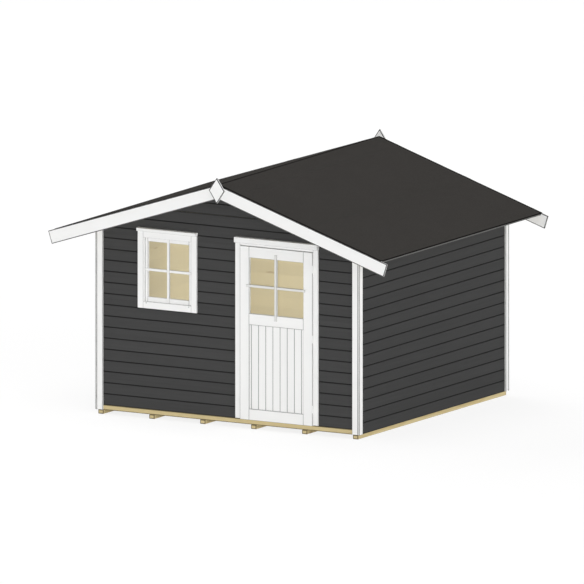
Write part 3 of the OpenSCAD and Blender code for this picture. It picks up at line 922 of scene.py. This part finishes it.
def felt():
    """Felt sheets on each slope: the section's upper line is the sheets' height over the slope, with two
    crossed waves of the boards below, and it is turned down over the boards' ends and carried from front
    to back. Over the barge boards the section has no turned edge and reaches down to them."""
    solid = points("roof_felt_right")
    edge, lip = solid[:, 0].max(), solid[:, 2].min() + FELT_RAISE
    in_front = solid[:, 1] < roof.front - SAME_PLACE
    strip = solid[(solid[:, 0] < SAME_PLACE) & in_front, 2].min()
    run = edge / roof.cos
    laps, lap = felt_laps(run), sizes().felt_lap
    down = np.unique(np.concatenate((
        np.linspace(0, run, FELT_STEPS), laps - LAP_STEP, laps + LAP_STEP, laps - lap, laps - 2 * lap,
        run - EAVE_WEAR + np.array((-EAVE_END, EAVE_END)))))
    along, over_barge, bare = felt_along()
    waves = np.sin(along[:, None] * 7.1 + down * 1.3) * np.sin(along[:, None] * 2.3 - down * 4.7)
    uneven = FELT_WAVE * waves * np.sin(math.pi * down / run)
    level = down * roof.cos
    top = roof.ridge + roof.deck - level * roof.rise + (felt_thickness(down, run) + uneven) / roof.cos
    turned_edge = np.array(((edge, top[0, -1] - TURNED_DEPTH * roof.deck), (edge, lip), (roof.eave, lip),
                            (roof.eave, roof.under(roof.eave) + roof.deck + FELT_GAP),
                            (0, roof.ridge + roof.deck + FELT_GAP)))
    reach = np.array((edge, edge - PLAIN_STEP, edge / 2, 0))
    lower_line = np.stack((reach, strip - reach * roof.rise), axis=1)
    plain_edge = np.concatenate((((edge, top[0, -1] - PLAIN_DEPTH * roof.deck),), lower_line))
    under = np.where(over_barge[:, None, None], plain_edge, turned_edge)
    x = np.concatenate((np.broadcast_to(level, top.shape), under[..., 0]), axis=1)
    z = np.concatenate((top, under[..., 1]), axis=1)
    y = np.broadcast_to(along[:, None], x.shape)
    wear_and_shade = np.maximum(np.concatenate((down > run - EAVE_WEAR, (1, 1, 0, 0, 0))), bare[:, None])
    for name, side in (("right", 1), ("left", -1)):
        piece = Piece(f"felt_sheets_{name}")
        sections = np.stack((side * x, y, z), axis=-1)
        piece.add(sections, sections, wear_and_shade)
        piece.finish((roofing_felt(),), slot="roofing_felt", replaces=(f"roof_felt_{name}",), smooth=True)


def ridge_cap():
    """A felt strip folded over the ridge: its section is a hyperbola, whose arms lie on the slopes and
    thin out towards their dressed-down edges. The grit is worn off along the fold."""
    reach = sizes().ridge_cap
    across = np.linspace(-1, 1, 25)
    across = reach * np.sign(across) * np.abs(across) ** CAP_GATHER
    fold = roof.rise * np.sqrt(across**2 + FOLD_RADIUS**2)
    height = roof.ridge + roof.deck + (sizes().felt_sheet + CAP_LIFT) / roof.cos
    dressed = 1 - (across / reach) ** 2
    upper = np.stack((across, height + sizes().felt_step * dressed - fold), axis=1)
    lower = np.stack((across, height - CAP_BODY - fold), axis=1)[::-1]
    section = np.concatenate((upper, lower))
    along, _, bare = felt_along()
    wave = CAP_WAVE * np.sin(along * 9.3)
    x, z = (np.broadcast_to(values, (len(along), len(section))) for values in section.T)
    sections = np.stack((x, np.broadcast_to(along[:, None], x.shape), z + wave[:, None]), axis=-1)
    fold_wear = np.concatenate((np.abs(across) < FOLD_WEAR, np.zeros(len(across))))
    piece = Piece("felt_ridge_cap")
    piece.add(sections, sections, np.maximum(fold_wear, bare[:, None]))
    piece.finish((roofing_felt(),), slot="roofing_felt", smooth=True)


# The barge boards' screws: rows across the width, screws in a row, and where a row starts and ends
BARGE_ROWS, BARGE_SCREWS, FROM_APEX, FROM_EAVE = (0.25, 0.75), 4, 0.13, 0.09


def barge_boards():
    """Boards along the gables' edges: plumb where they meet below the diamond, square at the eaves."""
    for depth in ("front", "back"):
        for name, side in (("right", 1), ("left", -1)):
            node = f"barge_{depth}_{name}"
            corners = points(node)
            low, high = box(node)
            apex = corners[np.abs(corners[:, 0]) < SAME_PLACE, 2]
            origin = np.array((0, low[1], apex.max()))
            run = np.abs(corners[:, 0]).max() / roof.cos
            width = (apex.max() - apex.min()) * roof.cos
            outline = np.array(((0, 0), (run, 0), (run, -width), (width * roof.rise, -width)))
            down, square = roof.down(side), roof.square(side)
            piece = Piece(f"barge_board_{depth}_{name}")
            slab(piece, Place(origin, (down, square, Y)), outline, high[1] - low[1], sizes().barge_round,
                 band=sizes().barge_band)
            outward, face = (-Y, low[1]) if depth == "front" else (Y, high[1])
            for row in BARGE_ROWS:
                line = origin - row * width * square + (face - low[1]) * Y
                screws(piece, line + FROM_APEX * down, line + (run - FROM_EAVE) * down, BARGE_SCREWS,
                       outward, sizes().screw_head)
            piece.finish((weathered_white(),), slot="white_paint", replaces=(node,))


def diamonds():
    """The diamonds on the barge boards' apex."""
    for depth in ("front", "back"):
        low, high = box(f"finial_{depth}")
        middle, half = (low + high) / 2, (high - low) / 2
        outline = np.array(((0, half[0]), (half[2], 0), (0, -half[0]), (-half[2], 0)))
        piece = Piece(f"diamond_{depth}")
        place = Place(np.array((middle[0], low[1], middle[2])), (Z, X, Y))
        slab(piece, place, outline, high[1] - low[1], sizes().barge_round, band=sizes().barge_band)
        piece.finish((weathered_white(),), slot="white_paint", replaces=(f"finial_{depth}",))


# ---- Joinery of the window and the door ----

PANE_EASE = 0.0004
# A drip cap's fall to the front, its eased edges, the groove below it from front to back, and its depth
CAP_FALL, CAP_EASE, CAP_GROOVE, CAP_GROOVE_DEPTH = 0.001, 0.003, (0.009, 0.014), 0.004


def beside(low, high, inner_low, inner_high, axis):
    """The two parts of a box that lie before and after an inner box along an axis."""
    return (stretch(low, high, axis, low[axis], inner_low[axis]),
            stretch(low, high, axis, inner_high[axis], high[axis]))


def fine_boards(piece, parts, along):
    """Boards with fine edges that fill parts of boxes."""
    for part in parts:
        board(piece, *part, along, sizes().fine_round)


def finish_white(piece, node, body="house"):
    """Gives a piece the plain white paint, in place of a CAD node."""
    piece.finish((white_paint(),), slot="white_paint", replaces=(node,), body=body)


def ring(name, node, hole):
    """Two upright boards and two level ones between them, from a CAD node's box to the hole in it."""
    low, high = box(node)
    piece = Piece(name)
    fine_boards(piece, beside(low, high, *hole, ALONG_X), ALONG_Z)
    between = stretch(low, high, ALONG_X, hole[0][0], hole[1][0])
    fine_boards(piece, beside(*between, *hole, ALONG_Z), ALONG_X)
    finish_white(piece, node)


def pane(name, node, body="house"):
    """A sheet of glass."""
    piece = Piece(name)
    board(piece, *box(node), ALONG_Z, PANE_EASE)
    piece.finish((window_glass(),), slot="window_glass", replaces=(node,), body=body)


def glazing_bars(piece, node, face, glass_low, glass_high):
    """A cross of bars. In front of the face, which is a Y, each bar runs the whole width or height of
    the node's box; behind it, a core reaches back to the glass inside the light. The bars are as wide as
    the node's corners at its top are apart."""
    low, high = box(node)
    corners = points(node)
    at_top = corners[corners[:, 2] > high[2] - SAME_PLACE, 0]
    middle, half = (low + high) / 2, (at_top.max() - at_top.min()) / 2
    left, right = middle[0] - half, middle[0] + half
    radius = min(sizes().fine_round, (face - low[1]) / 3)
    layers = ((low, high, low[1], face), (glass_low, glass_high, face, glass_low[1]))
    for first, last, front, back in layers:
        board(piece, np.array((left, front, first[2])), np.array((right, back, last[2])), ALONG_Z, radius)
    for first, last, front, back in layers:
        for start, end in ((first[0], left), (right, last[0])):
            board(piece, np.array((start, front, middle[2] - half)),
                  np.array((end, back, middle[2] + half)), ALONG_X, radius)


def side_casings(name, node, inner, inset, count):
    """Upright boards on both sides of the level ones' box, each with a row of screws."""
    low, high = box(node)
    piece = Piece(name)
    for part in beside(low, high, *inner, ALONG_X):
        fine_boards(piece, (part,), ALONG_Z)
        middle = np.array(((part[0][0] + part[1][0]) / 2, low[1], 0))
        screws(piece, middle + (low[2] + inset) * Z, middle + (high[2] - inset) * Z, count, -Y,
               sizes().screw_head)
    finish_white(piece, node)


def drip_cap(name, node):
    """A drip cap: its section has a top that falls to the front, eased front edges and a groove below,
    behind the front edge, and it is carried along X. Its ends are eased by a short taper."""
    low, high = box(node)
    reach, rise = high[1] - low[1], high[2] - low[2]
    ease, slight, (start, end), deep = CAP_EASE, 0.3 * CAP_EASE, CAP_GROOVE, CAP_GROOVE_DEPTH
    front = rise - CAP_FALL
    section = np.array((
        (reach, 0, 0), (reach, rise, 0), (ease, front, 0), (slight, front - slight, 1),
        (0, front - ease, 0), (0, ease, 0), (slight, slight, 1), (ease, 0, 0),
        (start, 0, 0), (start, deep, 1), (end, deep, 1), (end, 0, 0),
    ))
    y, z, wear_and_shade = section.T
    x = np.array((low[0], low[0] + slight, low[0] + ease, high[0] - ease, high[0] - slight, high[0]))
    taper = np.array((ease, slight, 0, 0, slight, ease))[:, None]
    edge_darkening = np.array((0, 1, 0, 0, 1, 0))[:, None]
    y = np.clip(y, taper, reach)
    z = np.clip(z, 0.5 * taper, rise - 0.5 * taper)
    sections = np.stack((np.broadcast_to(x[:, None], y.shape), low[1] + y, low[2] + z), axis=-1)
    piece = Piece(name)
    piece.add(sections, sections, np.maximum(wear_and_shade * (taper < ease), edge_darkening))
    finish_white(piece, node)


# ---- Window ----

# The two screws below the sash: radius, distances from its left and right end, and how far below it
SASH_SCREW, SASH_SCREW_LEFT, SASH_SCREW_RIGHT, SASH_SCREW_BELOW = 0.006, 0.025, 0.015, 0.013


def window():
    """Frame, sash, pane and glazing bars."""
    sash, glass = box("window_sash"), box("window_glass")
    ring("window_frame_boards", "window_frame", sash)
    ring("window_sash_boards", "window_sash", glass)
    pane("window_pane", "window_glass")
    piece = Piece("window_glazing_bars")
    glazing_bars(piece, "window_bars", sash[0][1], *glass)
    finish_white(piece, "window_bars")


def window_trims():
    """Boards round the window on the wall, the drip cap over them, and two screws below the sash."""
    low, high = box("window_cross_trims")
    sash_low, sash_high = box("window_sash")
    side_casings("window_side_casings", "window_side_trims", (low, high), inset=0.05, count=3)
    piece = Piece("window_cross_casings")
    fine_boards(piece, beside(low, high, sash_low, sash_high, ALONG_Z), ALONG_X)
    finish_white(piece, "window_cross_trims")
    drip_cap("window_drip_cap", "window_cap")
    piece = Piece("window_sash_screws")
    height = sash_low[2] - SASH_SCREW_BELOW
    screws(piece, np.array((sash_low[0] + SASH_SCREW_LEFT, low[1], height)),
           np.array((sash_high[0] - SASH_SCREW_RIGHT, low[1], height)), 2, -Y, SASH_SCREW)
    piece.finish((zinc_steel(),), slot="hinge_steel", smooth=True)


# ---- Door ----


def door_surround():
    """Jambs and head in the opening, and the boards and the drip cap on the wall round it."""
    head, trim = box("door_head"), box("door_head_trim")
    piece = Piece("door_jamb_boards")
    fine_boards(piece, beside(*box("door_jambs"), *head, ALONG_X), ALONG_Z)
    finish_white(piece, "door_jambs")
    piece = Piece("door_head_board")
    fine_boards(piece, (head,), ALONG_X)
    finish_white(piece, "door_head")
    side_casings("door_side_casings", "door_side_trims", trim, inset=0.06, count=5)
    piece = Piece("door_head_casing")
    fine_boards(piece, (trim,), ALONG_X)
    finish_white(piece, "door_head_trim")
    drip_cap("door_drip_cap", "door_cap")


def door_leaf():
    """Stiles from bottom to top, three rails between them, the boarded panel, the pane and its bars."""
    low, high = box("door_leaf")
    panel_low, panel_high = box("door_panel")
    glass_low, glass_high = box("door_glass")
    piece = Piece("door_stiles_rails")
    for stile in beside(low, high, panel_low, panel_high, ALONG_X):
        board(piece, *stile, ALONG_Z, sizes().edge_round)
    between = stretch(low, high, ALONG_X, panel_low[0], panel_high[0])
    for bottom, top in ((low[2], panel_low[2]), (panel_high[2], glass_low[2]), (glass_high[2], high[2])):
        board(piece, *stretch(*between, ALONG_Z, bottom, top), ALONG_X, sizes().edge_round)
    finish_white(piece, "door_leaf", "door")
    piece = Piece("door_boarded_panel")
    middle, half = (panel_low[0] + panel_high[0]) / 2, (panel_high[0] - panel_low[0]) / 2
    joints = np.arange(0.5, half / sizes().panel_board) * sizes().panel_board
    edges = middle + np.concatenate(((-half,), -joints[::-1], joints, (half,)))
    for start, end in zip(edges, edges[1:]):
        board(piece, *stretch(panel_low, panel_high, ALONG_X, start, end), ALONG_Z, sizes().joint_round)
    finish_white(piece, "door_panel", "door")
    pane("door_pane", "door_glass", "door")
    piece = Piece("door_glazing_bars")
    glazing_bars(piece, "door_bars", low[1], glass_low, glass_high)
    pale_grey = white_paint("satin_pale_grey", colours().bar_paint)
    piece.finish((pale_grey,), slot="white_paint", replaces=("door_bars",), body="door")


def hinges():
    """The hinges' solids keep their shape and get white painted steel."""
    for node in ("hinge_frame_halves", "hinge_leaf_halves"):
        cover_node(node, painted_steel())


# ---- Stage ----

# The suns: name, bearing from the front towards the right and height in degrees, share of a white
# surface's brightness that they give face on, spread in degrees, and whether they throw shadows
SUNS = (
    ("key_sun", 75, 10, 0.32, 40, True),
    ("open_sun", 38, 5, 0.59, 60, False),
    ("fill_sun", 255, 15, 0.72, 60, True),
    ("top_sun", 0, 88, 0.38, 60, True),
)
ROOM_WATTS, ROOM_LAMP_SIZE, ROOM_LAMP_PLACE = 29.5, 0.4, (-0.46, 0.37, 1.3)
SKY_LEVEL = 0.18
VIEW_RIGHT, VIEW_UP = Vector((0.8660, 0.5, 0.0)), Vector((-0.0868, 0.1504, 0.9848))
VIEW_WIDTH, VIEW_SHIFT, VIEW_DISTANCE, VIEW_END = 6.185, (-0.0691, 1.2003), 14.0, 200
FLOOR_HALF, FLOOR_DEPTH = 40.0, -0.001
# Share of the floor's colour that glows where it is seen directly, and how brightly
FLOOR_GLOW, FLOOR_WHITE = 0.8, 1.035
WHITE = (1.0, 1.0, 1.0, 1.0)


def sun(name, bearing, height, level, spread, shadow):
    """A soft sun in the direction given by its bearing and height."""
    lamp = bpy.data.lights.new(name, "SUN")
    lamp.energy, lamp.angle, lamp.use_shadow = level * math.pi, math.radians(spread), shadow
    thing = bpy.data.objects.new(name, lamp)
    bpy.context.scene.collection.objects.link(thing)
    bearing, height = math.radians(bearing), math.radians(height)
    towards = Vector((math.sin(bearing) * math.cos(height), -math.cos(bearing) * math.cos(height),
                      math.sin(height)))
    thing.rotation_mode = "QUATERNION"
    thing.rotation_quaternion = towards.to_track_quat("Z", "Y")


def seen_directly(shader):
    """1 for what the camera sees, straight or in glass and metal."""
    rays = [shader.node("ShaderNodeLightPath", output=name)
            for name in ("Is Camera Ray", "Is Glossy Ray", "Is Transmission Ray")]
    return rays[0] | rays[1] | rays[2]


def floor_paint(shader):
    """A pale floor that lights the house evenly and shows white, with the house's shadow on it."""
    lit = shader.node("ShaderNodeBsdfDiffuse", {}, {"Color": (0.8, 0.8, 0.8, 1.0)})
    pale = shader.node("ShaderNodeBsdfDiffuse", {}, {"Color": (*colours().floor, 1.0)})
    bright = shader.node("ShaderNodeEmission", {}, {"Color": WHITE, "Strength": FLOOR_WHITE})
    shown = shader.node("ShaderNodeMixShader", {}, {0: FLOOR_GLOW, 1: pale, 2: bright})
    return shader.node("ShaderNodeMixShader", {}, {0: seen_directly(shader), 1: lit, 2: shown})


def studio():
    """A pale floor, an even sky, soft suns, a lamp in the room and the camera."""
    scene = bpy.context.scene
    world = bpy.data.worlds.new("studio_sky")
    world.use_nodes = True
    scene.world = world
    shader = Shader(world.node_tree)
    light = shader.node("ShaderNodeBackground", {}, {"Color": WHITE, "Strength": SKY_LEVEL})
    backdrop = shader.node("ShaderNodeBackground", {}, {"Color": WHITE, "Strength": 1.0})
    both = shader.node("ShaderNodeMixShader", {}, {0: seen_directly(shader), 1: light, 2: backdrop})
    shader.node("ShaderNodeOutputWorld", {}, {"Surface": both})

    mesh = bpy.data.meshes.new("studio_floor")
    square = FLOOR_HALF * np.array(((-1, -1), (1, -1), (1, 1), (-1, 1)), float)
    mesh.from_pydata([(x, y, FLOOR_DEPTH) for x, y in square], [], [(0, 1, 2, 3)])
    mesh.materials.append(material("studio_floor", floor_paint))
    floor = bpy.data.objects.new("studio_floor", mesh)
    scene.collection.objects.link(floor)

    for settings in SUNS:
        sun(*settings)
    room = bpy.data.lights.new("room_lamp", "POINT")
    room.energy, room.shadow_soft_size = ROOM_WATTS, ROOM_LAMP_SIZE
    lamp = bpy.data.objects.new("room_lamp", room)
    lamp.location = ROOM_LAMP_PLACE
    lamp.visible_camera = lamp.visible_glossy = lamp.visible_transmission = False
    scene.collection.objects.link(lamp)

    camera = bpy.data.objects.new("camera", bpy.data.cameras.new("camera"))
    camera.data.type, camera.data.ortho_scale, camera.data.clip_end = "ORTHO", VIEW_WIDTH, VIEW_END
    back = VIEW_RIGHT.cross(VIEW_UP)
    camera.rotation_mode = "QUATERNION"
    camera.rotation_quaternion = Matrix((VIEW_RIGHT, VIEW_UP, back)).transposed().to_quaternion()
    camera.location = VIEW_SHIFT[0] * VIEW_RIGHT + VIEW_SHIFT[1] * VIEW_UP + VIEW_DISTANCE * back
    scene.collection.objects.link(camera)
    scene.camera = camera
    scene.view_settings.view_transform = "Standard"


# ---- Operators ----

KEEP_UNDO = {"REGISTER", "UNDO"}


class GARDENHOUSE_OT_studio(bpy.types.Operator):
    """Set up the floor, the light and the camera"""

    bl_idname = "garden_house.studio"
    bl_label = "Studio"
    bl_options = KEEP_UNDO

    def execute(self, context):
        studio()
        return {"FINISHED"}


class GARDENHOUSE_OT_base(bpy.types.Operator):
    """Build the joists, the beams and the floor boards"""

    bl_idname = "garden_house.base"
    bl_label = "Base and floor"
    bl_options = KEEP_UNDO

    def execute(self, context):
        base()
        return {"FINISHED"}


class GARDENHOUSE_OT_gable_walls(bpy.types.Operator):
    """Build the front and the back wall board by board"""

    bl_idname = "garden_house.gable_walls"
    bl_label = "Gable walls"
    bl_options = KEEP_UNDO

    def execute(self, context):
        front_and_back()
        return {"FINISHED"}


class GARDENHOUSE_OT_side_walls(bpy.types.Operator):
    """Build the side walls board by board"""

    bl_idname = "garden_house.side_walls"
    bl_label = "Side walls"
    bl_options = KEEP_UNDO

    def execute(self, context):
        side_walls()
        return {"FINISHED"}


class GARDENHOUSE_OT_corner_boards(bpy.types.Operator):
    """Build the boards on the corners"""

    bl_idname = "garden_house.corner_boards"
    bl_label = "Corner boards"
    bl_options = KEEP_UNDO

    def execute(self, context):
        corner_boards()
        return {"FINISHED"}


class GARDENHOUSE_OT_roof(bpy.types.Operator):
    """Build the purlins and the roof boards"""

    bl_idname = "garden_house.roof"
    bl_label = "Roof boards and purlins"
    bl_options = KEEP_UNDO

    def execute(self, context):
        purlins()
        roof_boards()
        return {"FINISHED"}


class GARDENHOUSE_OT_felt(bpy.types.Operator):
    """Lay the felt and the strip on the ridge"""

    bl_idname = "garden_house.felt"
    bl_label = "Roofing felt"
    bl_options = KEEP_UNDO

    def execute(self, context):
        felt()
        ridge_cap()
        return {"FINISHED"}


class GARDENHOUSE_OT_barge_boards(bpy.types.Operator):
    """Build the barge boards and the diamonds"""

    bl_idname = "garden_house.barge_boards"
    bl_label = "Barge boards"
    bl_options = KEEP_UNDO

    def execute(self, context):
        barge_boards()
        diamonds()
        return {"FINISHED"}


class GARDENHOUSE_OT_window(bpy.types.Operator):
    """Build the window and its trims"""

    bl_idname = "garden_house.window"
    bl_label = "Window"
    bl_options = KEEP_UNDO

    def execute(self, context):
        window()
        window_trims()
        return {"FINISHED"}


class GARDENHOUSE_OT_door_surround(bpy.types.Operator):
    """Build the boards round the door"""

    bl_idname = "garden_house.door_surround"
    bl_label = "Door surround"
    bl_options = KEEP_UNDO

    def execute(self, context):
        door_surround()
        return {"FINISHED"}


class GARDENHOUSE_OT_door(bpy.types.Operator):
    """Build the door's leaf and dress its hinges"""

    bl_idname = "garden_house.door"
    bl_label = "Door"
    bl_options = KEEP_UNDO

    def execute(self, context):
        door_leaf()
        hinges()
        return {"FINISHED"}


OPERATORS = (
    GARDENHOUSE_OT_studio,
    GARDENHOUSE_OT_base,
    GARDENHOUSE_OT_gable_walls,
    GARDENHOUSE_OT_side_walls,
    GARDENHOUSE_OT_corner_boards,
    GARDENHOUSE_OT_roof,
    GARDENHOUSE_OT_felt,
    GARDENHOUSE_OT_barge_boards,
    GARDENHOUSE_OT_window,
    GARDENHOUSE_OT_door_surround,
    GARDENHOUSE_OT_door,
)


class GARDENHOUSE_PT_parts(bpy.types.Panel):
    """Lists the steps of the garden house with its sizes and colours"""

    bl_label = "Garden House"
    bl_space_type = "VIEW_3D"
    bl_region_type = "UI"
    bl_category = "Garden House"

    def draw(self, context):
        for step in OPERATORS:
            self.layout.operator(step.bl_idname)
        for group in (context.scene.garden_house_sizes, context.scene.garden_house_colours):
            rows = self.layout.box()
            for name in group.__annotations__:
                rows.prop(group, name)


CLASSES = (GardenHouseSizes, GardenHouseColours, *OPERATORS, GARDENHOUSE_PT_parts)


def register():
    for kind in CLASSES:
        bpy.utils.register_class(kind)
    bpy.types.Scene.garden_house_sizes = PointerProperty(type=GardenHouseSizes)
    bpy.types.Scene.garden_house_colours = PointerProperty(type=GardenHouseColours)


def unregister():
    del bpy.types.Scene.garden_house_colours
    del bpy.types.Scene.garden_house_sizes
    for kind in reversed(CLASSES):
        bpy.utils.unregister_class(kind)


def main():
    register()
    for step in OPERATORS:
        getattr(bpy.ops.garden_house, step.bl_idname.split(".")[1])()


if __name__ == "__main__":
    main()
